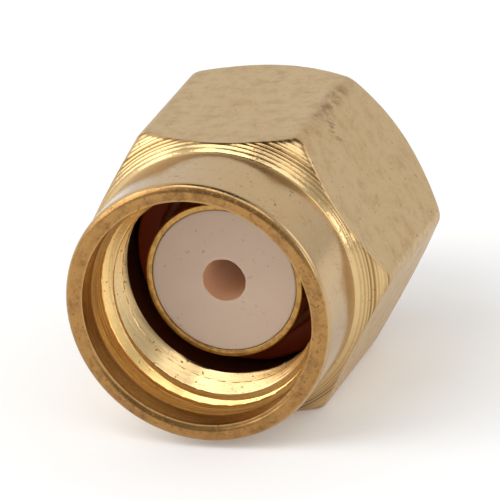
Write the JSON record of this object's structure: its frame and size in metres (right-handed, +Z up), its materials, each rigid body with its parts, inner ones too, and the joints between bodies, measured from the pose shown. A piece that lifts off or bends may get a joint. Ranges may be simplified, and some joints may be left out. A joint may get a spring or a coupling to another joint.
{
  "type": "sma connector",
  "caption": "Gold-plated coaxial plug for semi-rigid cable, with a captive hexagonal coupling nut that spins on a shell with a white insulator and a solder barrel.",
  "frame": {"origin": "on the surface the connector lies on, below the middle of its overall length and width", "axes": "+Y along the connector's axis, from the open mouth to the solder barrel; +Z up, square to the flat of the nut that it lies on; +X to the right seen from the mouth"},
  "size_m": [0.0092, 0.0116, 0.008],
  "materials": {
    "gold_nut": "gold-plated brass, satin outside, polished inside",
    "gold_shell": "gold-plated brass, fine turned",
    "ptfe": "white PTFE, turned",
    "silicone": "dark red silicone rubber",
    "bronze": "spring bronze, plain"
  },
  "bodies": {
    "connector_body": {"connector_shell": "gold_shell", "insulator": "ptfe", "gasket": "silicone"},
    "ring": {"retaining_ring": "bronze"},
    "nut": {"coupling_nut": "gold_nut"}
  },
  "joints": [
    {"name": "nut_float", "type": "slide", "parent": "connector_body", "child": "ring", "axis": [0, 1, 0], "range_m": [-0.0001, 0.0001]},
    {"name": "nut_spin", "type": "hinge", "parent": "ring", "child": "nut", "pos_m": [0, 0.001, 0.004], "axis": [0, 1, 0], "continuous": true}
  ]
}
